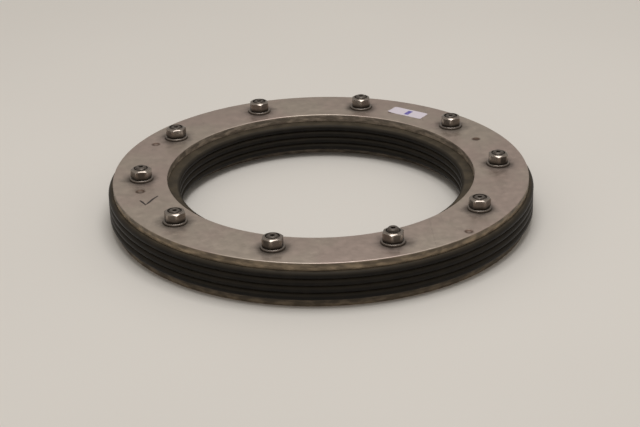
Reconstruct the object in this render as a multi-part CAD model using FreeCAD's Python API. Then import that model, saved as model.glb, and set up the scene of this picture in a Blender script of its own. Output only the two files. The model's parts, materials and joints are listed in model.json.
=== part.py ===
"""Annular pipe seal: a stack of rubber rings squeezed between two steel pressure plates.

Ten studs stand in the bottom plate and pass through the rubber and the top plate. Turning the
lock nuts draws the top plate down, and the rubber swells onto the pipe and the core hole.
Frame: origin on the ring axis at the underside of the bottom plate, +Z up, a stud on +X.
"""
import FreeCAD
import Part

import math
import os

# Driving dimensions, in millimetres.
PLATE_OUTER_R = 146.0
PLATE_INNER_R = 108.0
PLATE_THICKNESS = 5.5
PLATE_EDGE_R = 0.5
BOLT_CIRCLE_R = 126.0
BOLT_COUNT = 10

RUBBER_OUTER_R = 149.5
RUBBER_INNER_R = 99.5
RUBBER_RING_COUNT = 4
RUBBER_RING_HEIGHT = 5.0
RUBBER_EDGE_R = 1.4

STUD_R = 4.0
THREAD_PITCH = 1.25
THREAD_DEPTH = 0.55
THREAD_TURNS = 14
STUD_TIP_CHAMFER = 0.9
STUD_TIP_CUP_R = 1.7
STUD_TIP_CUP_DEPTH = 0.8
STUD_FOOT_R = 5.6
STUD_FOOT_DEPTH = 1.6
# How far each stud's end stands above its lock nut.
STUD_RISES = (1.0, 0.3, 1.0, 0.3, 0.3, 1.2, 0.4, 0.6, 2.1, 0.3)

PLATE_HOLE_R = 4.5
RUBBER_HOLE_R = 4.3
HOLE_CHAMFER = 0.3

WASHER_R = 8.0
WASHER_HOLE_R = 4.2
WASHER_THICKNESS = 1.6
WASHER_EDGE_R = 0.3

NUT_ACROSS_FLATS = 13.0
NUT_HEIGHT = 6.9
NUT_HEX_HEIGHT = 6.5
NUT_CHAMFER_DEG = 30.0
NUT_BORE_R = 4.05
CROWN_R = 5.7
CROWN_LIP_R = 5.0
CROWN_WALL = 0.6
CROWN_EDGE_R = 0.3
INSERT_HEIGHT = 1.7
INSERT_DEPTH_BELOW_LIP = 0.35

LABEL_LENGTH = 29.0
LABEL_WIDTH = 12.2
LABEL_THICKNESS = 0.15
LABEL_CORNER_R = 0.8
LABEL_CENTRE_R = 127.2
LABEL_ANGLE = 54.9
LABEL_SKEW = -2.0

# Where each nut stopped turning: the direction of one of its corners, in degrees from +X.
NUT_CORNER_DEG = (26, 26, 28, 36, 10, 3, 42, 17, 16, 52)

# Shallow round marks on the top plate: distance from the axis in mm, and angle in degrees.
MARK_PLACES = ((126.1, 21.8), (132.7, 151.8), (128.2, -170.3), (141.3, -50.5))
MARK_R = 2.8
MARK_DEPTH = 0.4

# Heights that follow from the driving dimensions.
RUBBER_BOTTOM_Z = PLATE_THICKNESS
RUBBER_TOP_Z = RUBBER_BOTTOM_Z + RUBBER_RING_COUNT * RUBBER_RING_HEIGHT
TOP_PLATE_TOP_Z = RUBBER_TOP_Z + PLATE_THICKNESS
NUT_BOTTOM_Z = TOP_PLATE_TOP_Z + WASHER_THICKNESS
NUT_TOP_Z = NUT_BOTTOM_Z + NUT_HEIGHT
STUD_PITCH_DEG = 360.0 / BOLT_COUNT

Z_AXIS = FreeCAD.Vector(0, 0, 1)
OVERSHOOT = 1.0


def vec(x, y, z):
    return FreeCAD.Vector(x, y, z)


def polar(radius, angle_deg, z=0.0):
    """A point given by its distance and direction from the ring axis."""
    angle = math.radians(angle_deg)
    return vec(radius * math.cos(angle), radius * math.sin(angle), z)


def bolt_place(index, z=0.0):
    return polar(BOLT_CIRCLE_R, index * STUD_PITCH_DEG, z)


def cylinder(radius, z_low, z_high, centre=None):
    base = vec(0, 0, z_low)
    if centre is not None:
        base = vec(centre.x, centre.y, z_low)
    return Part.makeCylinder(radius, z_high - z_low, base)


def revolved(points):
    """Turn a closed outline of (radius, height) points about the Z axis."""
    corners = [vec(radius, 0, height) for radius, height in points]
    outline = Part.makePolygon(corners + corners[:1])
    return Part.Face(outline).revolve(vec(0, 0, 0), Z_AXIS, 360)


def circular_edges(shape, radius, heights):
    """The full circles of one radius about the Z axis at the given heights."""
    found = []
    for edge in shape.Edges:
        curve = edge.Curve
        if not isinstance(curve, Part.Circle) or abs(curve.Radius - radius) > 1e-4:
            continue
        on_axis = math.hypot(curve.Center.x, curve.Center.y) < 1e-4
        if on_axis and any(abs(curve.Center.z - height) < 1e-4 for height in heights):
            found.append(edge)
    return found


def annulus(outer_r, inner_r, z_low, z_high, edge_r):
    """A flat ring with all four of its circular edges rounded."""
    ring = cylinder(outer_r, z_low, z_high).cut(cylinder(inner_r, z_low, z_high))
    heights = (z_low, z_high)
    edges = circular_edges(ring, outer_r, heights) + circular_edges(ring, inner_r, heights)
    return ring.makeFillet(edge_r, edges)


def drilled(plate, hole):
    """Repeat one cutter, made at the ring axis, at every stud."""
    for index in range(BOLT_COUNT):
        cutter = hole.copy()
        cutter.translate(bolt_place(index))
        plate = plate.cut(cutter)
    return plate


def placed(shape, index):
    """Move a fastener from the ring axis to its place on the bolt circle."""
    moved = shape.copy()
    moved.translate(bolt_place(index))
    return moved


def top_pressure_plate():
    low, high = RUBBER_TOP_Z, TOP_PLATE_TOP_Z
    wide_r = PLATE_HOLE_R + HOLE_CHAMFER
    hole = revolved(
        (
            (0, low - OVERSHOOT),
            (wide_r, low - OVERSHOOT),
            (wide_r, low),
            (PLATE_HOLE_R, low + HOLE_CHAMFER),
            (PLATE_HOLE_R, high - HOLE_CHAMFER),
            (wide_r, high),
            (wide_r, high + OVERSHOOT),
            (0, high + OVERSHOOT),
        )
    )
    plate = drilled(annulus(PLATE_OUTER_R, PLATE_INNER_R, low, high, PLATE_EDGE_R), hole)
    ball_r = (MARK_R**2 + MARK_DEPTH**2) / (2 * MARK_DEPTH)
    for radius, angle in MARK_PLACES:
        ball = Part.makeSphere(ball_r, polar(radius, angle, high - MARK_DEPTH + ball_r))
        plate = plate.cut(ball)
    return plate


def foot_outline():
    """The flush countersunk foot and the shank that stands in the bottom plate."""
    return (
        (0, 0),
        (STUD_FOOT_R, 0),
        (STUD_R, STUD_FOOT_DEPTH),
        (STUD_R, PLATE_THICKNESS),
    )


def bottom_pressure_plate():
    hole = revolved(foot_outline() + ((0, PLATE_THICKNESS),))
    plate = annulus(PLATE_OUTER_R, PLATE_INNER_R, 0, PLATE_THICKNESS, PLATE_EDGE_R)
    return drilled(plate, hole)


def seal_ring(number):
    low = RUBBER_BOTTOM_Z + (number - 1) * RUBBER_RING_HEIGHT
    high = low + RUBBER_RING_HEIGHT
    ring = annulus(RUBBER_OUTER_R, RUBBER_INNER_R, low, high, RUBBER_EDGE_R)
    return drilled(ring, cylinder(RUBBER_HOLE_R, low - OVERSHOOT, high + OVERSHOOT))


def stud(rise):
    """A stud whose end stands the given height above the lock nut."""
    top = NUT_TOP_Z + rise
    root_r = STUD_R - THREAD_DEPTH
    thread_top = top - STUD_TIP_CHAMFER
    thread_bottom = thread_top - THREAD_TURNS * THREAD_PITCH
    outline = list(foot_outline())
    for turn in range(THREAD_TURNS):
        groove_low = thread_bottom + turn * THREAD_PITCH
        outline.append((STUD_R, groove_low + 0.15 * THREAD_PITCH))
        outline.append((root_r, groove_low + 0.45 * THREAD_PITCH))
        outline.append((root_r, groove_low + 0.55 * THREAD_PITCH))
        outline.append((STUD_R, groove_low + 0.85 * THREAD_PITCH))
    outline.append((STUD_R, thread_top))
    outline.append((STUD_R - STUD_TIP_CHAMFER, top))
    outline.append((STUD_TIP_CUP_R, top))
    outline.append((0, top - STUD_TIP_CUP_DEPTH))
    return revolved(outline)


def washer():
    low, high = TOP_PLATE_TOP_Z, NUT_BOTTOM_Z
    disc = cylinder(WASHER_R, low, high).cut(cylinder(WASHER_HOLE_R, low, high))
    return disc.makeFillet(WASHER_EDGE_R, circular_edges(disc, WASHER_R, (high,)))


def hexagon(corner_deg):
    corner_r = NUT_ACROSS_FLATS / 2 / math.cos(math.pi / 6)
    corners = [polar(corner_r, corner_deg + 60 * side, NUT_BOTTOM_Z) for side in range(7)]
    return Part.Face(Part.makePolygon(corners)).extrude(vec(0, 0, NUT_HEX_HEIGHT))


def lock_nut(corner_deg):
    """A chamfered hexagon with a rolled crown that holds the insert ring."""
    flat_r = NUT_ACROSS_FLATS / 2
    corner_r = flat_r / math.cos(math.pi / 6)
    drop = (corner_r - flat_r) * math.tan(math.radians(NUT_CHAMFER_DEG))
    hex_top = NUT_BOTTOM_Z + NUT_HEX_HEIGHT
    turning = revolved(
        (
            (0, NUT_BOTTOM_Z),
            (flat_r, NUT_BOTTOM_Z),
            (corner_r, NUT_BOTTOM_Z + drop),
            (corner_r, hex_top - drop),
            (flat_r, hex_top),
            (0, hex_top),
        )
    )
    crown = cylinder(CROWN_R, hex_top, NUT_TOP_Z)
    crown = crown.makeFillet(CROWN_EDGE_R, circular_edges(crown, CROWN_R, (NUT_TOP_Z,)))
    seat_low = NUT_TOP_Z - INSERT_DEPTH_BELOW_LIP - INSERT_HEIGHT
    seat = cylinder(CROWN_R - CROWN_WALL, seat_low, NUT_TOP_Z - INSERT_DEPTH_BELOW_LIP)
    mouth = cylinder(CROWN_LIP_R, seat_low, NUT_TOP_Z + OVERSHOOT)
    bore = cylinder(NUT_BORE_R, NUT_BOTTOM_Z - OVERSHOOT, NUT_TOP_Z)
    body = hexagon(corner_deg).common(turning).fuse(crown).removeSplitter()
    return body.cut(seat).cut(mouth).cut(bore)


def nut_insert():
    high = NUT_TOP_Z - INSERT_DEPTH_BELOW_LIP
    low = high - INSERT_HEIGHT
    return cylinder(CROWN_R - CROWN_WALL, low, high).cut(cylinder(NUT_BORE_R, low, high))


def adhesive_label():
    """A thin rounded rectangle stuck on the top plate, long side nearly along the rim."""
    low = TOP_PLATE_TOP_Z
    corner = vec(-LABEL_WIDTH / 2, -LABEL_LENGTH / 2, low)
    label = Part.makeBox(LABEL_WIDTH, LABEL_LENGTH, LABEL_THICKNESS, corner)
    upright = [edge for edge in label.Edges if abs(edge.tangentAt(0).z) > 0.5]
    label = label.makeFillet(LABEL_CORNER_R, upright)
    label.rotate(vec(0, 0, 0), Z_AXIS, LABEL_SKEW)
    label.translate(vec(LABEL_CENTRE_R, 0, 0))
    label.rotate(vec(0, 0, 0), Z_AXIS, LABEL_ANGLE)
    return label


def all_parts():
    parts = {
        "bottom_pressure_plate": bottom_pressure_plate(),
        "top_pressure_plate": top_pressure_plate(),
        "adhesive_label": adhesive_label(),
    }
    for number in range(1, RUBBER_RING_COUNT + 1):
        parts[f"seal_ring_{number}"] = seal_ring(number)
    for index in range(BOLT_COUNT):
        number = f"{index + 1:02d}"
        parts[f"stud_{number}"] = placed(stud(STUD_RISES[index]), index)
        parts[f"washer_{number}"] = placed(washer(), index)
        parts[f"lock_nut_{number}"] = placed(lock_nut(NUT_CORNER_DEG[index]), index)
        parts[f"nut_insert_{number}"] = placed(nut_insert(), index)
    return parts


os.makedirs("parts", exist_ok=True)
for node, shape in all_parts().items():
    if not shape.isValid() or len(shape.Solids) != 1:
        raise RuntimeError(f"{node} isn't one valid solid")
    shape.exportStep(f"parts/{node}.step")
    print(node, round(shape.Volume, 1))
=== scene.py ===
"""Annular pipe seal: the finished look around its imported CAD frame."""

import json
import math

import bpy
from bpy.props import (
    FloatProperty,
    FloatVectorProperty,
    IntProperty,
    PointerProperty,
)
from bpy.types import Operator, Panel, PropertyGroup
from mathutils import Euler, Matrix, Vector


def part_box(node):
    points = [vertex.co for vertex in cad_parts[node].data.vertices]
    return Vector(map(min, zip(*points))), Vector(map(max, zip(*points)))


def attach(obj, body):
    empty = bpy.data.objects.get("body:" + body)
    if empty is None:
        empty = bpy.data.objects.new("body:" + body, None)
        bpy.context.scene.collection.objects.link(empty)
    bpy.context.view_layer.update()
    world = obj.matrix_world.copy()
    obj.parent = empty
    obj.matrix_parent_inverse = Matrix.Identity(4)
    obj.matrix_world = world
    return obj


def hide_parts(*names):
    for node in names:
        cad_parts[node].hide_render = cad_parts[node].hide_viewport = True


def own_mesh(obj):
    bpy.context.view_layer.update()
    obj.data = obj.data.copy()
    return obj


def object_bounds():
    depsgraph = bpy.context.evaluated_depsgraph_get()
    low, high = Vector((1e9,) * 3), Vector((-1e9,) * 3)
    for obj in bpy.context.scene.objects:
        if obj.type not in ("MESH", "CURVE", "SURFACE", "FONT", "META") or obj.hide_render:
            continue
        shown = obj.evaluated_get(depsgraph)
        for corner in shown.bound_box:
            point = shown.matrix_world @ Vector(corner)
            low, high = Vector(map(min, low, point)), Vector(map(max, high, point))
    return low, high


bl_info = {
    "name": "Annular pipe seal",
    "version": (1, 0, 0),
    "blender": (4, 5, 0),
    "location": "View3D > Sidebar > Pipe seal",
    "description": "Builds a clamped rubber ring seal with its plates, studs, nuts and finishes",
    "category": "Object",
}

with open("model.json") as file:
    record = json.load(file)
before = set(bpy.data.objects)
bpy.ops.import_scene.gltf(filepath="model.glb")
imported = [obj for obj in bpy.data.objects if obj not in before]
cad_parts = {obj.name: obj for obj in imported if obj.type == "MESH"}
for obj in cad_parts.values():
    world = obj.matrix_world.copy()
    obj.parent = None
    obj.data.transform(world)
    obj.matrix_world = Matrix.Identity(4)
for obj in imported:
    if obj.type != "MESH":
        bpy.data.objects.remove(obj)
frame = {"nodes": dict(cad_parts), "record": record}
CAD_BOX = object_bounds()
MM = 0.001

JOINTS = {joint["name"]: joint for joint in frame["record"]["behaviour"]["joints"]}
BOLT_NUMBERS = sorted(name[4:6] for name in JOINTS if name.startswith("nut_"))
BOLT_PITCH = math.tau / len(BOLT_NUMBERS)
BOLT_CIRCLE = math.hypot(*JOINTS["nut_01_turn"]["pos_m"][:2])
RING_NODES = sorted(name for name in frame["nodes"] if name.startswith("seal_ring_"))

# Pressed round marks on the top plate: millimetres from the seal's axis, degrees from +X.
MARK_PLACES = ((126.1, 21.8), (132.7, 151.8), (128.2, -170.3), (141.3, -50.5))
# The marker tick, in millimetres from its own middle, and where that middle lies.
TICK_STROKE = ((-6.0, 1.5), (-4.2, -1.5), (-2.0, -6.0), (0.2, -2.2), (3.0, 3.4), (6.2, 8.0))
TICK_PLACE = (126.1, -162.4)

# Faces round each small round shape.
HOLE_SEGMENTS = 48
MARK_SEGMENTS = 40
STUD_SEGMENTS = 40
WASHER_SEGMENTS = 72
NUT_SEGMENTS = 120
INSERT_SEGMENTS = 60
LABEL_SEGMENTS = 240


def radial_span(node):
    """The least and greatest distance of a CAD node's corners from the seal's axis."""
    reach = [math.hypot(v.co.x, v.co.y) for v in frame["nodes"][node].data.vertices]
    return min(reach), max(reach)


def bolt_centre(number, height=0.0):
    x, y, _ = JOINTS[f"nut_{number}_turn"]["pos_m"]
    return Vector((x, y, height))


def corner_angle(number):
    """Which way one corner of a CAD lock nut points, in radians."""
    centre = bolt_centre(number)
    corners = frame["nodes"][f"lock_nut_{number}"].data.vertices
    far = max(corners, key=lambda v: math.hypot(v.co.x - centre.x, v.co.y - centre.y))
    return math.atan2(far.co.y - centre.y, far.co.x - centre.x)


def polar(place, height=0.0):
    """A point given in millimetres from the seal's axis and degrees from +X."""
    reach, turn = place[0] * MM, math.radians(place[1])
    return Vector((reach * math.cos(turn), reach * math.sin(turn), height))


def linear(code):
    """An sRGB hex colour as linear red, green and blue."""
    parts = [int(code[place : place + 2], 16) / 255 for place in (1, 3, 5)]
    return tuple(c / 12.92 if c <= 0.04045 else ((c + 0.055) / 1.055) ** 2.4 for c in parts)


def colour(name, code):
    return FloatVectorProperty(name=name, subtype="COLOR", min=0, max=1, default=linear(code))


def length(name, description, millimetres):
    return FloatProperty(
        name=name, description=description, unit="LENGTH", default=millimetres * MM
    )


class SealSizes(PropertyGroup):
    """Small shapes that the CAD frame leaves plain."""

    rib_edge: length("Rib edge", "Rounding along each rubber rib's edges", 1.9)
    rib_crown: length("Rib crown", "How far a rib bulges between its edges", 0.4)
    rib_wave: length("Rib wave", "How far a rib wanders from a true circle", 0.12)
    rubber_hole: length("Rubber hole", "Radius of the stud holes in the rubber", 4.3)
    plate_hole: length("Plate hole", "Radius of the stud holes in the top plate", 4.5)
    plate_round: length("Plate edge", "Rounding of the top plate's edges", 0.6)
    washer_round: length("Washer edge", "Die roll on the washers' top edge", 0.6)
    stud_radius: length("Stud radius", "Outer radius of the M8 thread", 4.0)
    thread_pitch: length("Thread pitch", "Pitch of the M8 thread", 1.25)
    thread_depth: length("Thread depth", "Depth of the M8 thread", 0.6)
    thread_length: length("Thread length", "Threaded length below the stud's end", 17.5)
    nut_flat: length("Nut flat", "Distance from the nut's axis to a flat", 6.5)
    hex_height: length("Hexagon height", "Height of the nut's hexagon", 6.5)
    mark_radius: length("Mark radius", "Radius of the pressed marks on the top plate", 2.8)
    label_length: length("Label length", "Long side of the label", 29.0)
    label_width: length("Label width", "Short side of the label", 12.2)
    label_lift: length("Label lift", "How far the label's loose corner has lifted", 0.6)
    label_turn: FloatProperty(
        name="Label turn",
        description="Direction of the label's short side",
        subtype="ANGLE",
        default=math.radians(52.9),
    )
    stroke_width: length("Stroke width", "Width of the marker stroke", 1.6)
    cup_radius: length("Cup radius", "Radius of the hollow in each stud's end", 1.4)


class SealFinishes(PropertyGroup):
    """Colours of the real finishes; two of them also serve as painted shade and a painted highlight."""

    sheet: colour("Sheet steel", "#c3b6a9")
    sheet_warm: colour("Sheet steel, warm cloud", "#c3b1a7")
    sheet_edge: colour("Cut edge", "#8e7e69")
    # Grime; also the colour that the painted shade on the plates and fasteners darkens towards.
    grime: colour("Grime and painted shade", "#2a2015")
    stain: colour("Stain", "#5a4030")
    fastener: colour("Fastener steel", "#a49a91")
    nylon: colour("Insert nylon", "#231c17")
    rubber: colour("Rubber", "#1b1917")
    # Dust; also the colour of the painted highlight on the rubber ribs' shoulders.
    dust: colour("Dust and painted highlight", "#5f5546")
    label: colour("Label", "#dcd3dc")
    label_print: colour("Label print", "#5a4fa8")
    ink: colour("Marker ink", "#2c2224")
    floor: colour("Floor", "#e4dfd8")


class SealView(PropertyGroup):
    """Camera and studio light."""

    azimuth: FloatProperty(name="Azimuth", subtype="ANGLE", default=math.radians(3.3))
    elevation: FloatProperty(name="Elevation", subtype="ANGLE", default=math.radians(24.78))
    roll: FloatProperty(name="Roll", subtype="ANGLE", default=math.radians(-1.19))
    distance: FloatProperty(name="Distance", unit="LENGTH", default=1.2068)
    aim_side: length("Aim, sideways", "Where the camera aims, right of the seal's axis", -1.1)
    aim_depth: length("Aim, depth", "Where the camera aims, beyond the seal's axis", -71.0)
    lens: FloatProperty(name="Lens", subtype="DISTANCE_CAMERA", default=101.4)
    softbox_width: FloatProperty(name="Softbox width", unit="LENGTH", default=1.1)
    softbox_depth: FloatProperty(name="Softbox depth", unit="LENGTH", default=0.8)
    softbox_place: FloatVectorProperty(
        name="Softbox place", subtype="TRANSLATION", default=(0.05, -0.05, 1.5)
    )
    floor_size: FloatProperty(name="Floor size", unit="LENGTH", default=6.0)
    softbox_power: FloatProperty(name="Softbox", subtype="POWER", unit="POWER", default=10.0)
    sky_strength: FloatProperty(name="Sky strength", default=1.0, min=0)
    segments: IntProperty(name="Segments", description="Faces round a ring", default=360, min=48)


# ---------------------------------------------------------------- meshes


def ring_mesh(name, rings, segments, place, capped=False):
    """A skin of rings about Z, where place(ring, angle) gives a radius and a height.

    The last ring joins the first, as in a washer, or both ends are capped, as in a stud.
    """
    points = []
    for ring in range(rings):
        for step in range(segments):
            angle = math.tau * step / segments
            radius, height = place(ring, angle)
            points.append((radius * math.cos(angle), radius * math.sin(angle), height))
    faces = []
    for ring in range(rings - 1 if capped else rings):
        low = ring * segments
        high = (ring + 1) % rings * segments
        for step in range(segments):
            after = (step + 1) % segments
            faces.append((low + step, low + after, high + after, high + step))
    if capped:
        faces.append(tuple(reversed(range(segments))))
        faces.append(tuple(range((rings - 1) * segments, rings * segments)))
    mesh = bpy.data.meshes.new(name)
    mesh.from_pydata(points, [], faces)
    return mesh


def turned(name, outline, segments, capped=False):
    """A fixed outline of (radius, height) points turned about Z."""
    return ring_mesh(name, len(outline), segments, lambda ring, angle: outline[ring], capped)


def arc(centre, radius, start_deg, end_deg, steps):
    """Points of an arc in the (radius, height) plane."""
    points = []
    for step in range(steps + 1):
        angle = math.radians(start_deg + (end_deg - start_deg) * step / steps)
        points.append((centre[0] + radius * math.cos(angle), centre[1] + radius * math.sin(angle)))
    return points


def round_section(inner, outer, low, high, bottom_round, top_round, steps=4):
    """A rectangle with rounded corners in the (radius, height) plane, from the inside bottom."""
    section = []
    section += arc((inner + bottom_round, low + bottom_round), bottom_round, 180, 270, steps)
    section += arc((outer - bottom_round, low + bottom_round), bottom_round, -90, 0, steps)
    section += arc((outer - top_round, high - top_round), top_round, 0, 90, steps)
    section += arc((inner + top_round, high - top_round), top_round, 90, 180, steps)
    return section


def add_piece(name, mesh, material, place=(0, 0, 0), turn=0.0, sharp_deg=35):
    """A smooth-shaded object whose edges stay sharp above an angle."""
    piece = bpy.data.objects.new(name, mesh)
    bpy.context.scene.collection.objects.link(piece)
    piece.location = place
    piece.rotation_euler = Euler((0, 0, turn))
    mesh.shade_smooth()
    mesh.set_sharp_from_angle(angle=math.radians(sharp_deg))
    mesh.materials.clear()
    mesh.materials.append(material)
    return piece


def join_meshes(name, meshes):
    """One mesh from several, each given with the matrix that puts it in place."""
    points = []
    faces = []
    for mesh, matrix in meshes:
        start = len(points)
        points += [matrix @ vertex.co for vertex in mesh.vertices]
        faces += [tuple(start + corner for corner in face.vertices) for face in mesh.polygons]
        bpy.data.meshes.remove(mesh)
    joined = bpy.data.meshes.new(name)
    joined.from_pydata(points, [], faces)
    return joined


def cut_away(mesh, cutter_mesh):
    """A mesh with the shape of another cut out of it."""
    body = bpy.data.objects.new("blank", mesh)
    cutter = bpy.data.objects.new("cutter", cutter_mesh)
    for thing in (body, cutter):
        bpy.context.scene.collection.objects.link(thing)
    cut = body.modifiers.new("cut", "BOOLEAN")
    cut.object = cutter
    cut.operation = "DIFFERENCE"
    cut.solver = "EXACT"
    depsgraph = bpy.context.evaluated_depsgraph_get()
    result = bpy.data.meshes.new_from_object(body.evaluated_get(depsgraph))
    bpy.data.objects.remove(body)
    bpy.data.objects.remove(cutter)
    if len(result.polygons) <= len(mesh.polygons):
        raise RuntimeError(f"nothing was cut out of {mesh.name}")
    return result


def stud_holes(radius, low, high, chamfer):
    """Ten chamfered holes on the bolt circle, as meshes to cut with."""
    overshoot = MM
    wide = radius + chamfer
    outline = (
        (wide, low - overshoot),
        (wide, low),
        (radius, low + chamfer),
        (radius, high - chamfer),
        (wide, high),
        (wide, high + overshoot),
    )
    holes = []
    for number in BOLT_NUMBERS:
        hole = turned("hole", outline, HOLE_SEGMENTS, capped=True)
        holes.append((hole, Matrix.Translation(bolt_centre(number))))
    return holes


def dished_marks(radius, high, depth):
    """Shallow dishes in the top plate's face, as meshes to cut with."""
    outline = (
        (0.3 * radius, high - depth),
        (0.6 * radius, high - 0.8 * depth),
        (0.85 * radius, high - 0.4 * depth),
        (radius, high),
        (1.2 * radius, high + depth),
    )
    marks = []
    for place in MARK_PLACES:
        mark = turned("mark", outline, MARK_SEGMENTS, capped=True)
        marks.append((mark, Matrix.Translation(polar(place))))
    return marks


# ---------------------------------------------------------------- materials


def connect(tree, target, inputs):
    """Sets or links inputs, named or numbered. A node given as a value stands for its result."""
    for key, value in inputs.items():
        if isinstance(key, int):
            socket = target.inputs[key]
        else:
            socket = next(s for s in target.inputs if s.enabled and s.name == key)
        if isinstance(value, bpy.types.Node):
            value = next(s for s in value.outputs if s.enabled)
        if isinstance(value, bpy.types.NodeSocket):
            tree.links.new(value, socket)
        elif socket.type == "RGBA":
            socket.default_value = (*value, 1.0)
        else:
            socket.default_value = value


def node(tree, kind, inputs=None, **settings):
    """Adds one node with its settings and its inputs."""
    added = tree.nodes.new("ShaderNode" + kind)
    for key, value in settings.items():
        setattr(added, key, value)
    connect(tree, added, inputs or {})
    return added


def finish(name, wire):
    """A material made once, where wire(tree, where, shader) gives it colour and texture."""
    if name in bpy.data.materials:
        return bpy.data.materials[name]
    material = bpy.data.materials.new(name)
    material.use_nodes = True
    tree = material.node_tree
    tree.nodes.clear()
    where = node(tree, "TexCoord").outputs["Object"]
    shader = node(tree, "BsdfPrincipled")
    node(tree, "OutputMaterial", {"Surface": shader})
    wire(tree, where, shader)
    return material


def per_mm(size_mm):
    """The texture scale, on coordinates in metres, of features about this size."""
    return 1 / (size_mm * MM)


def sheet_steel(tree, where, shader):
    """Stainless sheet, 2B mill finish: cold rolled, pickled, then rolled lightly again.

    It gives a dull, cloudy grey with a faint rolling grain, brown soiling and painted shade round each
    washer with a painted contact shadow at its edge, and a darker, oxidised edge where the blank was
    cut out.
    """
    look = bpy.context.scene.seal_finishes
    washer = radial_reach("washer_01", bolt_centre("01"))
    mark = bpy.context.scene.seal_sizes.mark_radius
    axes = node(tree, "SeparateXYZ", {"Vector": where})
    x, y = axes.outputs["X"], axes.outputs["Y"]

    # Distance from the nearest stud: the plate is folded into one tenth of a turn.
    angle = node(tree, "Math", {0: y, 1: x}, operation="ARCTAN2")
    turns = node(tree, "Math", {0: angle, 1: BOLT_PITCH}, operation="DIVIDE")
    nearest = node(tree, "Math", {0: turns}, operation="ROUND")
    folded = node(tree, "Math", {0: turns, 1: nearest}, operation="SUBTRACT")
    pitch = BOLT_PITCH * BOLT_CIRCLE
    aside = node(tree, "Math", {0: folded, 1: pitch}, operation="MULTIPLY")
    level = node(tree, "CombineXYZ", {"X": x, "Y": y})
    radius = node(tree, "VectorMath", {0: level}, operation="LENGTH").outputs["Value"]
    outward = node(tree, "Math", {0: radius, 1: BOLT_CIRCLE}, operation="SUBTRACT")
    offset = node(tree, "CombineXYZ", {"X": outward, "Y": aside})
    from_stud = node(tree, "VectorMath", {0: offset}, operation="LENGTH").outputs["Value"]
    smear = node(tree, "TexNoise", {"Vector": where, "Scale": per_mm(9), "Detail": 3.0})
    ragged = node(tree, "Math", {0: smear, 1: 10 * MM, 2: from_stud}, operation="MULTIPLY_ADD")
    # Soiling with painted shade: a ragged darkening that spreads out round each washer.
    halo = node(
        tree,
        "MapRange",
        {
            "Value": ragged,
            "From Min": washer + 3 * MM,
            "From Max": washer + 14 * MM,
            "To Min": 0.88,
            "To Max": 0.0,
        },
        interpolation_type="SMOOTHSTEP",
    )
    # Painted contact shadow: a dark ring tight round each washer's edge.
    rim = node(
        tree,
        "MapRange",
        {
            "Value": from_stud,
            "From Min": washer + 0.2 * MM,
            "From Max": washer + 1.8 * MM,
            "To Min": 0.95,
            "To Max": 0.0,
        },
        interpolation_type="SMOOTHSTEP",
    )
    dirt = node(tree, "Math", {0: halo, 1: rim}, operation="MAXIMUM")

    # Rust-brown rings left in the pressed marks, nearly black in the first one.
    stain = 0.0
    for place in MARK_PLACES:
        from_mark = node(tree, "VectorMath", {0: level, 1: polar(place)}, operation="DISTANCE")
        blurred = node(
            tree,
            "Math",
            {0: smear, 1: 1.6 * MM, 2: from_mark.outputs["Value"]},
            operation="MULTIPLY_ADD",
        )
        spot = node(
            tree,
            "MapRange",
            {
                "Value": blurred,
                "From Min": 1.15 * mark,
                "From Max": 1.65 * mark,
                "To Min": 0.85,
                "To Max": 0.0,
            },
        )
        centre = node(
            tree,
            "MapRange",
            {
                "Value": blurred,
                "From Min": 0.6 * mark,
                "From Max": 1.1 * mark,
                "To Min": 0.0 if place == MARK_PLACES[0] else 0.5,
                "To Max": 0.0,
            },
        )
        ringed = node(tree, "Math", {0: spot, 1: centre}, operation="SUBTRACT")
        stain = node(tree, "Math", {0: stain, 1: ringed}, operation="MAXIMUM")

    # Clouds left by pickling, about 40 mm across, and a finer blotch inside them.
    clouds = node(tree, "TexNoise", {"Vector": where, "Scale": per_mm(42), "Detail": 4.0})
    cloudy = node(tree, "MapRange", {"Value": clouds, "From Min": 0.4, "From Max": 0.6})
    blotch = node(
        tree,
        "TexNoise",
        {"Vector": where, "Scale": per_mm(6), "Detail": 5.0, "Roughness": 0.65},
    )
    steel = node(
        tree,
        "Mix",
        {"Factor": cloudy, "A": look.sheet, "B": look.sheet_warm},
        data_type="RGBA",
    )
    shade = node(
        tree,
        "MapRange",
        {"Value": blotch, "From Min": 0.3, "From Max": 0.7, "To Min": 0.95, "To Max": 1.03},
    )
    mottled = node(tree, "VectorMath", {0: steel, "Scale": shade}, operation="SCALE")

    # Rolling grain along Y: 0.5 mm wide, drawn coarser than the real 0.05 mm so that it shows.
    stretched = node(tree, "Mapping", {"Vector": where, "Scale": (1.0, 0.03, 1.0)})
    grain = node(tree, "TexNoise", {"Vector": stretched, "Scale": per_mm(0.5), "Detail": 2.0})
    # Handling scratches: long thin streaks across the grain, kept where the noise peaks.
    skewed = node(
        tree,
        "Mapping",
        {"Vector": where, "Rotation": (0, 0, math.radians(35)), "Scale": (1.0, 0.012, 1.0)},
    )
    streaks = node(tree, "TexNoise", {"Vector": skewed, "Scale": per_mm(0.8), "Detail": 1.0})
    scratch = node(tree, "MapRange", {"Value": streaks, "From Min": 0.7, "From Max": 0.76})

    # The cut edge faces sideways.
    facing = node(tree, "SeparateXYZ", {"Vector": node(tree, "NewGeometry").outputs["Normal"]})
    upright = node(tree, "Math", {0: facing.outputs["Z"]}, operation="ABSOLUTE")
    edge = node(
        tree,
        "MapRange",
        {"Value": upright, "From Min": 0.1, "From Max": 0.4, "To Min": 1.0, "To Max": 0.0},
    )
    stained = node(tree, "Mix", {"Factor": stain, "A": mottled, "B": look.stain}, data_type="RGBA")
    dirty = node(tree, "Mix", {"Factor": dirt, "A": stained, "B": look.grime}, data_type="RGBA")
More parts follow.
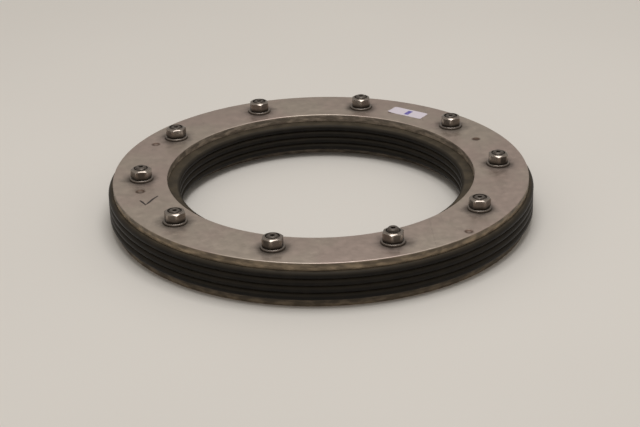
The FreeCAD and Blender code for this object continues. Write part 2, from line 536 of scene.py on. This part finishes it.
    # The cut edge is patchy: bare metal where it was rubbed, brown where grime has stayed.
    flattened = node(tree, "Mapping", {"Vector": where, "Scale": (1.0, 1.0, 3.0)})
    worn = node(tree, "TexNoise", {"Vector": flattened, "Scale": per_mm(9), "Detail": 5.0})
    patches = node(
        tree,
        "MapRange",
        {"Value": worn, "From Min": 0.42, "From Max": 0.62, "To Min": 0.6, "To Max": 1.25},
    )
    # Both plates' edges are lighter along their lower part and darker above.
    top_plate_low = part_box("top_pressure_plate")[0].z
    height = node(tree, "Math", {0: axes.outputs["Z"], 1: top_plate_low}, operation="MODULO")
    wiped = node(
        tree,
        "MapRange",
        {"Value": height, "From Min": 1.8 * MM, "From Max": 3.4 * MM, "To Min": 1.25, "To Max": 0.75},
    )
    patches = node(tree, "Math", {0: patches, 1: wiped}, operation="MULTIPLY")
    # The bottom plate's edge is darker.
    lower = node(
        tree,
        "MapRange",
        {
            "Value": axes.outputs["Z"],
            "From Min": 6 * MM,
            "From Max": top_plate_low,
            "To Min": 0.5,
            "To Max": 1.0,
        },
    )
    patches = node(tree, "Math", {0: patches, 1: lower}, operation="MULTIPLY")
    # Towards the bore the edge takes more of the face's colour.
    inner, outer = radial_span("top_pressure_plate")
    bore = node(
        tree,
        "MapRange",
        {"Value": radius, "From Min": inner, "From Max": outer, "To Min": 0.45, "To Max": 0.0},
    )
    tone = node(tree, "Mix", {"Factor": bore, "A": look.sheet_edge, "B": look.sheet}, data_type="RGBA")
    burnt = node(tree, "VectorMath", {0: tone, "Scale": patches}, operation="SCALE")
    surface = node(tree, "Mix", {"Factor": edge, "A": dirty, "B": burnt}, data_type="RGBA")
    satin = node(
        tree,
        "MapRange",
        {"Value": blotch, "From Min": 0.3, "From Max": 0.7, "To Min": 0.36, "To Max": 0.5},
    )
    polished = node(tree, "Math", {0: scratch, 1: -0.12, 2: satin}, operation="MULTIPLY_ADD")
    roughness = node(tree, "Math", {0: dirt, 1: 0.25, 2: polished}, operation="MULTIPLY_ADD")
    film = node(tree, "Math", {0: dirt, 1: edge}, operation="MAXIMUM")
    metal = node(tree, "Math", {0: film, 1: -0.6, 2: 1.0}, operation="MULTIPLY_ADD")
    relief = node(tree, "Math", {0: grain, 1: 0.4, 2: blotch}, operation="MULTIPLY_ADD")
    bump = node(tree, "Bump", {"Strength": 0.25, "Distance": 0.05 * MM, "Height": relief})
    connect(
        tree,
        shader,
        {"Base Color": surface, "Metallic": metal, "Roughness": roughness, "Normal": bump},
    )


def worn_steel(tree, where, shader, smear, dirt):
    """A2 stainless, dulled by handling, under a mask of soiling and painted shade made by the piece's
    own finish.
    """
    look = bpy.context.scene.seal_finishes
    surface = node(tree, "Mix", {"Factor": dirt, "A": look.fastener, "B": look.grime}, data_type="RGBA")
    roughness = node(
        tree,
        "MapRange",
        {"Value": smear, "From Min": 0.3, "From Max": 0.7, "To Min": 0.14, "To Max": 0.28},
    )
    dulled = node(tree, "Math", {0: dirt, 1: 0.25, 2: roughness}, operation="MULTIPLY_ADD")
    metal = node(tree, "Math", {0: dirt, 1: -0.5, 2: 1.0}, operation="MULTIPLY_ADD")
    bump = node(tree, "Bump", {"Strength": 0.08, "Distance": 0.04 * MM, "Height": smear})
    connect(
        tree,
        shader,
        {"Base Color": surface, "Metallic": metal, "Roughness": dulled, "Normal": bump},
    )


def own_smear(tree, where):
    """Blotches of about 2 mm, different on each piece that shares the finish."""
    own = node(tree, "ObjectInfo").outputs["Random"]
    shifted = node(tree, "VectorMath", {0: where, 1: own}, operation="ADD")
    return node(tree, "TexNoise", {"Vector": shifted, "Scale": per_mm(2.2), "Detail": 2.0})


def axis_distance(tree, where):
    """How far a point of a fastener is from its own upright axis."""
    level = node(tree, "VectorMath", {0: where, 1: (1, 1, 0)}, operation="MULTIPLY")
    return node(tree, "VectorMath", {0: level}, operation="LENGTH").outputs["Value"]


def nut_steel(tree, where, shader):
    """Cold-formed stainless: bright chamfers and corners, soiling and painted shade in the mouth and
    low down, and painted shade on the flats.
    """
    sizes = bpy.context.scene.seal_sizes
    smear = own_smear(tree, where)
    height = node(tree, "SeparateXYZ", {"Vector": where}).outputs["Z"]
    lifted = node(tree, "Math", {0: smear, 1: 0.8 * MM, 2: height}, operation="MULTIPLY_ADD")
    radius = axis_distance(tree, where)
    # Painted shade: each flat is darkened by an amount of its own, standing in for light that falls
    # differently on each flat, with a blotchy smear; it stops short of the corners and of the chamfer.
    facing = node(tree, "SeparateXYZ", {"Vector": node(tree, "TexCoord").outputs["Normal"]})
    x, y = facing.outputs["X"], facing.outputs["Y"]
    turn = node(tree, "Math", {0: y, 1: x}, operation="ARCTAN2")
    sixths = node(tree, "Math", {0: turn, 1: math.tau / 6}, operation="DIVIDE")
    flat = node(tree, "Math", {0: sixths}, operation="FLOOR")
    own = node(tree, "ObjectInfo").outputs["Random"]
    pair = node(tree, "CombineXYZ", {"X": flat, "Y": own})
    grease = node(tree, "TexWhiteNoise", {"Vector": pair}, noise_dimensions="2D")
    wiped = node(tree, "MapRange", {"Value": grease, "To Min": 0.02, "To Max": 0.75})
    dried = node(tree, "Math", {0: smear, 1: 0.3, 2: wiped}, operation="MULTIPLY_ADD")
    flat_reach = sizes.nut_flat
    masks = []
    for value, start, end, most in (
        (radius, flat_reach - 1.65 * MM, flat_reach - 1.4 * MM, 0.92),
        (lifted, 1.3 * MM, 4.2 * MM, 0.95),
        (radius, 1.04 * flat_reach, 1.11 * flat_reach, 1.0),
        (height, sizes.hex_height - 1.2 * MM, sizes.hex_height - 0.4 * MM, 1.0),
    ):
        span = {"From Min": start, "From Max": end, "To Min": most, "To Max": 0.0}
        masks.append(node(tree, "MapRange", {"Value": value, **span}))
    mouth, foot, kept, low = masks
    inside = node(tree, "Math", {0: kept, 1: low}, operation="MULTIPLY")
    on_flats = node(tree, "Math", {0: dried, 1: inside}, operation="MULTIPLY")
    # Soiling and painted shade in the mouth and at the foot.
    corners = node(tree, "Math", {0: mouth, 1: foot}, operation="MAXIMUM")
    dirt = node(tree, "Math", {0: corners, 1: on_flats}, operation="MAXIMUM")
    worn_steel(tree, where, shader, smear, dirt)


def washer_steel(tree, where, shader):
    """Stamped stainless: soiling and painted shade on the face round the nut, a cleaner, lighter outer
    edge, and a painted contact shadow low on the side.
    """
    smear = own_smear(tree, where)
    reach = radial_reach("washer_01", bolt_centre("01"))
    radius = axis_distance(tree, where)
    ragged = node(tree, "Math", {0: smear, 1: 0.8 * MM, 2: radius}, operation="MULTIPLY_ADD")
    # Soiling and painted shade over the face round the nut, less on the rounded outer edge.
    face = node(
        tree,
        "MapRange",
        {
            "Value": ragged,
            "From Min": reach - 0.7 * MM,
            "From Max": reach - 0.1 * MM,
            "To Min": 0.75,
            "To Max": 0.3,
        },
    )
    height = node(tree, "SeparateXYZ", {"Vector": where}).outputs["Z"]
    # Painted contact shadow along the foot of the washer.
    foot = node(
        tree,
        "MapRange",
        {"Value": height, "From Min": 0.3 * MM, "From Max": 0.9 * MM, "To Min": 0.8, "To Max": 0.0},
    )
    dirt = node(tree, "Math", {0: face, 1: foot}, operation="MAXIMUM")
    worn_steel(tree, where, shader, smear, dirt)


def stud_steel(tree, where, shader):
    """Rolled thread in stainless: greased grey, with the hollow in the cut end painted dark as painted
    shade.
    """
    sizes = bpy.context.scene.seal_sizes
    smear = own_smear(tree, where)
    radius = axis_distance(tree, where)
    # Greased grey all over; the hollow in the end is painted dark, painted shade.
    dirt = node(
        tree,
        "MapRange",
        {
            "Value": radius,
            "From Min": sizes.cup_radius,
            "From Max": sizes.cup_radius + 0.3 * MM,
            "To Min": 1.0,
            "To Max": 0.68,
        },
    )
    worn_steel(tree, where, shader, smear, dirt)


def moulded_rubber(tree, where, shader):
    """EPDM, moulded: deep brown-black and half matt, greyed by dust on what faces up, and lightened on
    the ribs' upper shoulders as a painted highlight.
    """
    look = bpy.context.scene.seal_finishes
    facing = node(tree, "SeparateXYZ", {"Vector": node(tree, "NewGeometry").outputs["Normal"]})
    up = node(tree, "MapRange", {"Value": facing.outputs["Z"], "From Min": 0.1, "From Max": 1.0})
    settled = node(tree, "Math", {0: up, 1: 7.0}, operation="POWER")
    drift = node(tree, "TexNoise", {"Vector": where, "Scale": per_mm(9), "Detail": 5.0})
    patchy = node(
        tree,
        "MapRange",
        {"Value": drift, "From Min": 0.3, "From Max": 0.7, "To Min": 0.3, "To Max": 0.7},
    )
    dust = node(tree, "Math", {0: settled, 1: patchy}, operation="MULTIPLY")
    scuffs = node(
        tree,
        "MapRange",
        {"Value": drift, "From Min": 0.45, "From Max": 0.75, "To Min": 0.0, "To Max": 0.06},
    )
    # Painted highlight: everything is lightened towards the dust colour by how far it faces up, showing
    # on the ribs' upper shoulders; the scuffs added to it are real wear.
    shoulder = node(tree, "Math", {0: up, 1: 0.27}, operation="MULTIPLY")
    worn = node(tree, "Math", {0: scuffs, 1: shoulder}, operation="ADD")
    film = node(tree, "Math", {0: dust, 1: worn}, operation="MAXIMUM")
    surface = node(tree, "Mix", {"Factor": film, "A": look.rubber, "B": look.dust}, data_type="RGBA")
    roughness = node(tree, "Math", {0: film, 1: 0.4, 2: 0.4}, operation="MULTIPLY_ADD")
    # Mould texture: pits of about 0.4 mm.
    pits = node(tree, "TexNoise", {"Vector": where, "Scale": per_mm(0.4), "Detail": 2.0})
    bump = node(tree, "Bump", {"Strength": 0.25, "Distance": 0.05 * MM, "Height": pits})
    connect(tree, shader, {"Base Color": surface, "Roughness": roughness, "Normal": bump})
    connect(tree, shader, {"Specular IOR Level": 0.1})


def insert_nylon(tree, where, shader):
    """Polyamide 6.6, moulded: a dull dark ring, polished a little where the thread cut it."""
    look = bpy.context.scene.seal_finishes
    smear = node(tree, "TexNoise", {"Vector": where, "Scale": per_mm(1.5), "Detail": 3.0})
    surface = node(tree, "Mix", {"Factor": smear, "A": look.nylon, "B": look.grime}, data_type="RGBA")
    roughness = node(tree, "MapRange", {"Value": smear, "To Min": 0.3, "To Max": 0.6})
    connect(tree, shader, {"Base Color": surface, "Roughness": roughness})


def label_paper(tree, where, shader):
    """Coated paper: smooth and slightly lilac, with one plain block printed in the middle."""
    look = bpy.context.scene.seal_finishes
    axes = node(tree, "SeparateXYZ", {"Vector": where})
    across = node(tree, "Math", {0: axes.outputs["X"]}, operation="ABSOLUTE")
    along = node(tree, "Math", {0: axes.outputs["Y"], 1: 0.6 * MM}, operation="ADD")
    spread = node(tree, "Math", {0: along}, operation="ABSOLUTE")
    inside = node(
        tree,
        "MapRange",
        {"Value": across, "From Min": 3.4 * MM, "From Max": 4.4 * MM, "To Min": 1, "To Max": 0},
    )
    block = node(
        tree,
        "MapRange",
        {"Value": spread, "From Min": 1.3 * MM, "From Max": 2.4 * MM, "To Min": 1, "To Max": 0},
    )
    printed = node(tree, "Math", {0: inside, 1: block}, operation="MULTIPLY")
    fibre = node(tree, "TexNoise", {"Vector": where, "Scale": per_mm(1.2), "Detail": 4.0})
    worn = node(
        tree,
        "MapRange",
        {"Value": fibre, "From Min": 0.3, "From Max": 0.5, "To Min": 0.6, "To Max": 1.0},
    )
    inked = node(tree, "Math", {0: printed, 1: worn}, operation="MULTIPLY")
    surface = node(
        tree,
        "Mix",
        {"Factor": inked, "A": look.label, "B": look.label_print},
        data_type="RGBA",
    )
    bump = node(tree, "Bump", {"Strength": 0.2, "Distance": 0.05 * MM, "Height": fibre})
    connect(tree, shader, {"Base Color": surface, "Normal": bump})
    connect(tree, shader, {"Roughness": 0.45})


def marker_ink(tree, where, shader):
    """Permanent marker ink, wiped on by hand: thin, dark and slightly glossy."""
    look = bpy.context.scene.seal_finishes
    thin = node(tree, "TexNoise", {"Vector": where, "Scale": per_mm(1.0), "Detail": 2.0})
    surface = node(tree, "Mix", {"Factor": thin, "A": look.ink, "B": look.grime}, data_type="RGBA")
    connect(tree, shader, {"Base Color": surface, "Roughness": 0.4})


def pale_floor(tree, where, shader):
    """Matt painted board, nearly even."""
    look = bpy.context.scene.seal_finishes
    drift = node(tree, "TexNoise", {"Vector": where, "Scale": per_mm(300), "Detail": 2.0})
    shade = node(tree, "MapRange", {"Value": drift, "To Min": 0.97, "To Max": 1.03})
    surface = node(tree, "VectorMath", {0: look.floor, "Scale": shade}, operation="SCALE")
    connect(tree, shader, {"Base Color": surface, "Roughness": 0.7})


# ---------------------------------------------------------------- pieces


def radial_reach(name, centre):
    """How far a CAD node reaches sideways from a vertical line."""
    corners = frame["nodes"][name].data.vertices
    return max(math.hypot(v.co.x - centre.x, v.co.y - centre.y) for v in corners)


def node_height(name):
    low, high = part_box(name)
    return high.z - low.z


class SEAL_OT_rubber_rings(Operator):
    """Four moulded rubber rings, each a rib outside and inside, squeezed by the top plate"""

    bl_idname = "seal.rubber_rings"
    bl_label = "Rubber rings"

    def rib_mesh(self, name, number, low, high):
        """One ring: rounded edges, a crowned rib each side, and a slow hand-made wander."""
        sizes = bpy.context.scene.seal_sizes
        inner, outer = radial_span(name)
        crown = sizes.rib_crown
        section = round_section(
            inner + crown, outer - crown, low, high, sizes.rib_edge, sizes.rib_edge, steps=5
        )
        middle = (low + high) / 2
        half = (high - low) / 2 - sizes.rib_edge / 2

        def place(ring, angle):
            radius, height = section[ring]
            side = 1 if radius > (inner + outer) / 2 else -1
            bulge = crown * max(0.0, 1 - ((height - middle) / half) ** 2)
            wander = math.sin(3 * angle + 1.7 * number) + 0.6 * math.sin(7 * angle + 2.9 * number)
            at_rib = abs(radius - (inner + outer) / 2) > (outer - inner) / 2 - 4 * crown
            wave = sizes.rib_wave * wander / 2 if at_rib else 0.0
            return radius + side * bulge + wave, height

        segments = bpy.context.scene.seal_view.segments
        return ring_mesh(name, len(section), segments, place)

    def execute(self, context):
        sizes = context.scene.seal_sizes
        rubber = finish("EPDM rubber, moulded", moulded_rubber)
        for number, name in enumerate(RING_NODES, start=1):
            low, high = (corner.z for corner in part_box(name))
            cutter = join_meshes("holes", stud_holes(sizes.rubber_hole, low, high, 0.2 * MM))
            mesh = cut_away(self.rib_mesh(name, number, low, high), cutter)
            piece = add_piece(f"rubber_ring_{number}", mesh, rubber)
            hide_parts(name)
            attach(piece, "base")
            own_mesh(piece)
        return {"FINISHED"}


class SEAL_OT_pressure_plates(Operator):
    """The two flat stainless plates that clamp the rubber"""

    bl_idname = "seal.pressure_plates"
    bl_label = "Pressure plates"

    def blank(self, name):
        """The flat ring with its rounded edges, before the holes and marks."""
        low, high = (corner.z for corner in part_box(name))
        inner, outer = radial_span(name)
        edge = bpy.context.scene.seal_sizes.plate_round
        section = round_section(inner, outer, low, high, edge * 0.6, edge, steps=10)
        return turned(name, section, bpy.context.scene.seal_view.segments)

    def execute(self, context):
        sizes = context.scene.seal_sizes
        steel = finish("Stainless sheet, 2B mill finish", sheet_steel)
        low, high = (corner.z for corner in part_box("top_pressure_plate"))
        cuts = stud_holes(sizes.plate_hole, low, high, chamfer=0.3 * MM)
        cuts += dished_marks(sizes.mark_radius, high, depth=0.4 * MM)
        top_mesh = cut_away(self.blank("top_pressure_plate"), join_meshes("cuts", cuts))
        top = add_piece("top_plate", top_mesh, steel, sharp_deg=10)
        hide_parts("top_pressure_plate")
        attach(top, "clamp")
        bottom = frame["nodes"]["bottom_pressure_plate"]
        bottom.data.materials.clear()
        bottom.data.materials.append(steel)
        return {"FINISHED"}


class SEAL_OT_studs(Operator):
    """Ten threaded studs standing in the bottom plate"""

    bl_idname = "seal.studs"
    bl_label = "Studs"

    def thread_mesh(self, name, top):
        """A stud about its own axis: flush foot, plain shank, rolled thread and cupped end."""
        sizes = bpy.context.scene.seal_sizes
        radius = sizes.stud_radius
        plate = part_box("bottom_pressure_plate")[1].z
        foot = radial_reach("stud_01", bolt_centre("01"))
        foot_depth = foot - radius
        pitch = sizes.thread_pitch
        thread_low = top - sizes.thread_length
        chamfer = 0.9 * MM
        rows_per_pitch = 10
        rows = round(sizes.thread_length / pitch * rows_per_pitch)
        heights = [thread_low + sizes.thread_length * row / rows for row in range(rows + 1)]
        foot_rings = ((foot, 0.0), (radius, foot_depth), (radius, plate))
        hollow = sizes.cup_radius
        cup = (
            (2.9 * MM, top),
            (hollow + 0.5 * MM, top),
            (hollow + 0.15 * MM, top - 0.1 * MM),
            (hollow, top - 0.4 * MM),
            (0.85 * hollow, top - 1.6 * MM),
            (0.1 * MM, top - 2.1 * MM),
        )

        def place(ring, angle):
            if ring < len(foot_rings):
                return foot_rings[ring]
            row = ring - len(foot_rings)
            if row >= len(heights):
                return cup[row - len(heights)]
            height = heights[row]
            phase = (height / pitch - angle / math.tau) % 1.0
            flank = min(1.0, max(0.0, 2.4 * abs(2 * phase - 1) - 0.7))
            run_in = min(1.0, (height - thread_low) / pitch)
            depth = sizes.thread_depth * (1 - flank) * run_in
            end = radius - max(0.0, height - (top - chamfer))
            return min(radius - depth, end), height

        rings = len(foot_rings) + len(heights) + len(cup)
        return ring_mesh(name, rings, STUD_SEGMENTS, place, capped=True)

    def execute(self, context):
        steel = finish("A2 stainless, rolled thread", stud_steel)
        meshes = {}
        for number in BOLT_NUMBERS:
            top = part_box(f"stud_{number}")[1].z
            key = round(top, 5)
            if key not in meshes:
                meshes[key] = self.thread_mesh(f"stud_{number}", top)
            place = bolt_centre(number)
            piece = add_piece(f"threaded_stud_{number}", meshes[key], steel, place, sharp_deg=50)
            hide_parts(f"stud_{number}")
            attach(piece, "base")
        return {"FINISHED"}


class SEAL_OT_washers(Operator):
    """Ten flat washers, stamped, with a die roll on the upper edge"""

    bl_idname = "seal.washers"
    bl_label = "Washers"

    def execute(self, context):
        sizes = context.scene.seal_sizes
        steel = finish("A2 stainless, stamped", washer_steel)
        low, high = (corner.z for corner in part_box("washer_01"))
        outer = radial_reach("washer_01", bolt_centre("01"))
        inner = sizes.stud_radius + 0.2 * MM
        thick = high - low
        section = round_section(inner, outer, 0, thick, 0.1 * MM, sizes.washer_round)
        mesh = turned("washer", section, WASHER_SEGMENTS)
        for number in BOLT_NUMBERS:
            place = bolt_centre(number, low)
            piece = add_piece(f"flat_washer_{number}", mesh, steel, place)
            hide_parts(f"washer_{number}")
            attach(piece, "clamp")
        return {"FINISHED"}


class SEAL_OT_lock_nuts(Operator):
    """Ten lock nuts: a chamfered hexagon, a rolled crown, and a nylon insert inside it"""

    bl_idname = "seal.lock_nuts"
    bl_label = "Lock nuts"

    def nut_mesh(self):
        """A lock nut about its own axis, standing on Z = 0, with a corner on +X."""
        sizes = bpy.context.scene.seal_sizes
        height = node_height("lock_nut_01")
        hex_top = sizes.hex_height
        flat = sizes.nut_flat
        bore = sizes.stud_radius + 0.05 * MM
        face = 0.93 * flat
        slope = math.tan(math.radians(30))
        worn = 0.22 * MM
        chamfer = 0.4 * MM
        crown = 5.45 * MM
        lip = 4.8 * MM
        seat = height - 1.6 * MM

        def hexagon(angle):
            """Distance to the hexagon, with its corners blunted a little."""
            sharp = flat / math.cos((angle + math.pi / 6) % (math.pi / 3) - math.pi / 6)
            return min(sharp, 1.148 * flat)

        def outline(angle):
            """The nut's section in one direction, from the bore's foot round to its top."""
            reach = hexagon(angle + math.pi / 6)
            fall = (reach - face) * slope
            corner = hex_top - fall
            return (
                (bore + chamfer, 0.0),
                (face, 0.0),
                (reach - 0.08 * MM, fall * 0.8),
                (reach, fall * 0.8 + 0.12 * MM),
                (reach, corner - worn),
                (reach - 0.04 * worn, corner - 0.55 * worn),
                (reach - 0.15 * worn, corner - 0.2 * worn),
                (reach - 0.4 * worn, corner + 0.12 * worn),
                (reach - 0.8 * worn, corner + 0.8 * worn * slope),
                (face - 0.1 * MM, hex_top + 0.1 * MM * slope),
                (crown, hex_top + 0.02 * MM),
                (crown - 0.06 * MM, hex_top + 0.1 * MM),
                (crown - 0.12 * MM, height - 0.18 * MM),
                (crown - 0.25 * MM, height - 0.05 * MM),
                (crown - 0.4 * MM, height),
                (lip + 0.12 * MM, height),
                (lip, height - 0.12 * MM),
                (lip, seat),
                (bore, seat),
                (bore, chamfer),
            )

        rings = len(outline(0.0))
        return ring_mesh(
            "lock_nut", rings, NUT_SEGMENTS, lambda ring, angle: outline(angle)[ring]
        )

    def insert_mesh(self):
        """The nylon ring: a shallow dome inside the crown's lip."""
        sizes = bpy.context.scene.seal_sizes
        height = node_height("lock_nut_01")
        bore = sizes.stud_radius + 0.03 * MM
        outer = 4.77 * MM
        section = (
            (bore, height - 1.58 * MM),
            (outer, height - 1.58 * MM),
            (outer, height - 0.7 * MM),
            (outer - 0.2 * MM, height - 0.55 * MM),
            ((bore + outer) / 2, height - 0.5 * MM),
            (bore + 0.15 * MM, height - 0.6 * MM),
            (bore, height - 0.75 * MM),
        )
        return turned("insert", section, INSERT_SEGMENTS)

    def execute(self, context):
        steel = finish("A2 stainless, cold formed", nut_steel)
        nylon = finish("Polyamide 6.6, moulded", insert_nylon)
        nut_shape = self.nut_mesh()
        insert_shape = self.insert_mesh()
        for number in BOLT_NUMBERS:
            body = f"nut_{number}"
            place = bolt_centre(number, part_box(f"lock_nut_{number}")[0].z)
            turn = corner_angle(number)
            nut = add_piece(f"hex_nut_{number}", nut_shape, steel, place, turn, sharp_deg=25)
            insert = add_piece(f"insert_ring_{number}", insert_shape, nylon, place, turn)
            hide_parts(f"lock_nut_{number}")
            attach(nut, body)
            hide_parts(f"nut_insert_{number}")
            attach(insert, body)
        return {"FINISHED"}


class SEAL_OT_label(Operator):
    """The small label, stuck on across the top plate with one corner lifting"""

    bl_idname = "seal.label"
    bl_label = "Label"

    def label_mesh(self, thick):
        """A thin sheet with rounded corners, its short side along its own X."""
        sizes = bpy.context.scene.seal_sizes
        half = Vector((sizes.label_width / 2, sizes.label_length / 2))
        squareness = 16
        curl = 8 * MM
        rings = ((0.3, 0), (0.6, 0), (0.8, 0), (0.99, 0), (1, thick / 2))
        rings += ((0.99, thick), (0.8, thick), (0.6, thick), (0.3, thick))

        def place(ring, angle):
            share, height = rings[ring]
            x, y = math.cos(angle), math.sin(angle)
            reach = abs(x / half.x) ** squareness + abs(y / half.y) ** squareness
            reach = share * reach ** (-1 / squareness)
            from_corner = (Vector((x, y)) * reach - Vector((-half.x, half.y))).length
            lift = sizes.label_lift * max(0.0, 1 - from_corner / curl) ** 2
            return reach, height + lift

        return ring_mesh("label", len(rings), LABEL_SEGMENTS, place, capped=True)

    def execute(self, context):
        sizes = context.scene.seal_sizes
        low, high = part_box("adhesive_label")
        place = (low + high) / 2
        place.z = low.z
        paper = finish("Coated paper label", label_paper)
        mesh = self.label_mesh(high.z - low.z)
        piece = add_piece("paper_label", mesh, paper, place, sizes.label_turn)
        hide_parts("adhesive_label")
        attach(piece, "clamp")
        return {"FINISHED"}


class SEAL_OT_marker_tick(Operator):
    """A tick drawn on the top plate by hand with a marker"""

    bl_idname = "seal.marker_tick"
    bl_label = "Marker tick"

    def execute(self, context):
        half = context.scene.seal_sizes.stroke_width / 2
        thick = 0.03 * MM
        spine = [Vector((x, y)) * MM for x, y in TICK_STROKE]
        sides = ([], [])
        for index, point in enumerate(spine):
            before = spine[max(index - 1, 0)]
            after = spine[min(index + 1, len(spine) - 1)]
            along = (after - before).normalized()
            across = Vector((-along.y, along.x))
            width = half * (0.6 if index in (0, len(spine) - 1) else 1.0)
            sides[0].append(point - across * width)
            sides[1].append(point + across * width)
        outline = sides[0] + sides[1][::-1]
        count = len(outline)
        points = [(p.x, p.y, 0.0) for p in outline] + [(p.x, p.y, thick) for p in outline]
        faces = [tuple(reversed(range(count))), tuple(range(count, 2 * count))]
        for index in range(count):
            after = (index + 1) % count
            faces.append((index, after, count + after, count + index))
        mesh = bpy.data.meshes.new("tick")
        mesh.from_pydata(points, [], faces)
        ink = finish("Permanent marker ink", marker_ink)
        place = polar(TICK_PLACE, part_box("top_pressure_plate")[1].z)
        piece = add_piece("marker_tick", mesh, ink, place)
        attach(piece, "clamp")
        return {"FINISHED"}


class SEAL_OT_stage(Operator):
    """Pale floor, soft overhead light and the camera"""

    bl_idname = "seal.stage"
    bl_label = "Stage"

    def floor(self, view):
        half = view.floor_size / 2
        corners = [(-half, -half, 0), (half, -half, 0), (half, half, 0), (-half, half, 0)]
        mesh = bpy.data.meshes.new("floor")
        mesh.from_pydata(corners, [], [(0, 1, 2, 3)])
        floor = bpy.data.objects.new("floor", mesh)
        bpy.context.scene.collection.objects.link(floor)
        floor.location.z = CAD_BOX[0][2] - 0.05 * MM
        mesh.materials.append(finish("Matt painted board", pale_floor))

    def softbox(self, view):
        data = bpy.data.lights.new("softbox", "AREA")
        data.shape = "RECTANGLE"
        data.size = view.softbox_width
        data.size_y = view.softbox_depth
        data.energy = view.softbox_power
        lamp = bpy.data.objects.new("softbox", data)
        bpy.context.scene.collection.objects.link(lamp)
        lamp.location = view.softbox_place
        down = -Vector(view.softbox_place)
        lamp.rotation_euler = down.to_track_quat("-Z", "Y").to_euler()

    def sky(self, view):
        """An even room: dim at floor level, brighter overhead."""
        world = bpy.data.worlds.new("room")
        world.use_nodes = True
        tree = world.node_tree
        tree.nodes.clear()
        way = node(tree, "TexCoord").outputs["Generated"]
        up = node(tree, "SeparateXYZ", {"Vector": way}).outputs["Z"]
        glow = node(
            tree,
            "MapRange",
            {"Value": up, "From Min": -0.1, "From Max": 1.0, "To Min": 0.3, "To Max": 0.55},
        )
        white = linear("#f6f1ea")
        shade = node(tree, "VectorMath", {0: white, "Scale": glow}, operation="SCALE")
        back = node(tree, "Background", {"Color": shade, "Strength": view.sky_strength})
        node(tree, "OutputWorld", {"Surface": back})
        bpy.context.scene.world = world

    def camera(self, view):
        data = bpy.data.cameras.new("camera")
        data.sensor_width = 36
        data.lens = view.lens
        data.clip_start = 0.01
        camera = bpy.data.objects.new("camera", data)
        bpy.context.scene.collection.objects.link(camera)
        heading = Matrix.Rotation(-view.azimuth, 4, "Z")
        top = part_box("top_pressure_plate")[1].z
        aim = heading @ Vector((view.aim_side, view.aim_depth, 0)) + Vector((0, 0, top))
        tilt = Matrix.Rotation(math.pi / 2 - view.elevation, 4, "X")
        roll = Matrix.Rotation(view.roll, 4, "Z")
        pose = heading @ tilt @ roll
        back = pose @ Vector((0, 0, view.distance))
        camera.matrix_world = Matrix.Translation(aim + back) @ pose
        bpy.context.scene.camera = camera

    def execute(self, context):
        view = context.scene.seal_view
        self.floor(view)
        self.softbox(view)
        self.sky(view)
        self.camera(view)
        context.scene.view_settings.view_transform = "Standard"
        return {"FINISHED"}


class SEAL_PT_panel(Panel):
    """Lists the seal's pieces, sizes and finishes"""

    bl_idname = "SEAL_PT_panel"
    bl_label = "Pipe seal"
    bl_space_type = "VIEW_3D"
    bl_region_type = "UI"
    bl_category = "Pipe seal"

    def draw(self, context):
        for operator in OPERATORS:
            self.layout.operator(operator.bl_idname)
        for group in (context.scene.seal_sizes, context.scene.seal_finishes, context.scene.seal_view):
            column = self.layout.column()
            for name in group.bl_rna.properties.keys():
                if name not in ("rna_type", "name"):
                    column.prop(group, name)


GROUPS = {"seal_sizes": SealSizes, "seal_finishes": SealFinishes, "seal_view": SealView}
OPERATORS = (
    SEAL_OT_rubber_rings,
    SEAL_OT_pressure_plates,
    SEAL_OT_studs,
    SEAL_OT_washers,
    SEAL_OT_lock_nuts,
    SEAL_OT_label,
    SEAL_OT_marker_tick,
    SEAL_OT_stage,
)


def register():
    for name, group in GROUPS.items():
        bpy.utils.register_class(group)
        setattr(bpy.types.Scene, name, PointerProperty(type=group))
    for operator in OPERATORS:
        bpy.utils.register_class(operator)
    bpy.utils.register_class(SEAL_PT_panel)


def unregister():
    bpy.utils.unregister_class(SEAL_PT_panel)
    for operator in reversed(OPERATORS):
        bpy.utils.unregister_class(operator)
    for name, group in reversed(GROUPS.items()):
        delattr(bpy.types.Scene, name)
        bpy.utils.unregister_class(group)


def main():
    register()
    for operator in OPERATORS:
        family, name = operator.bl_idname.split(".")
        getattr(getattr(bpy.ops, family), name)()


if __name__ == "__main__":
    main()
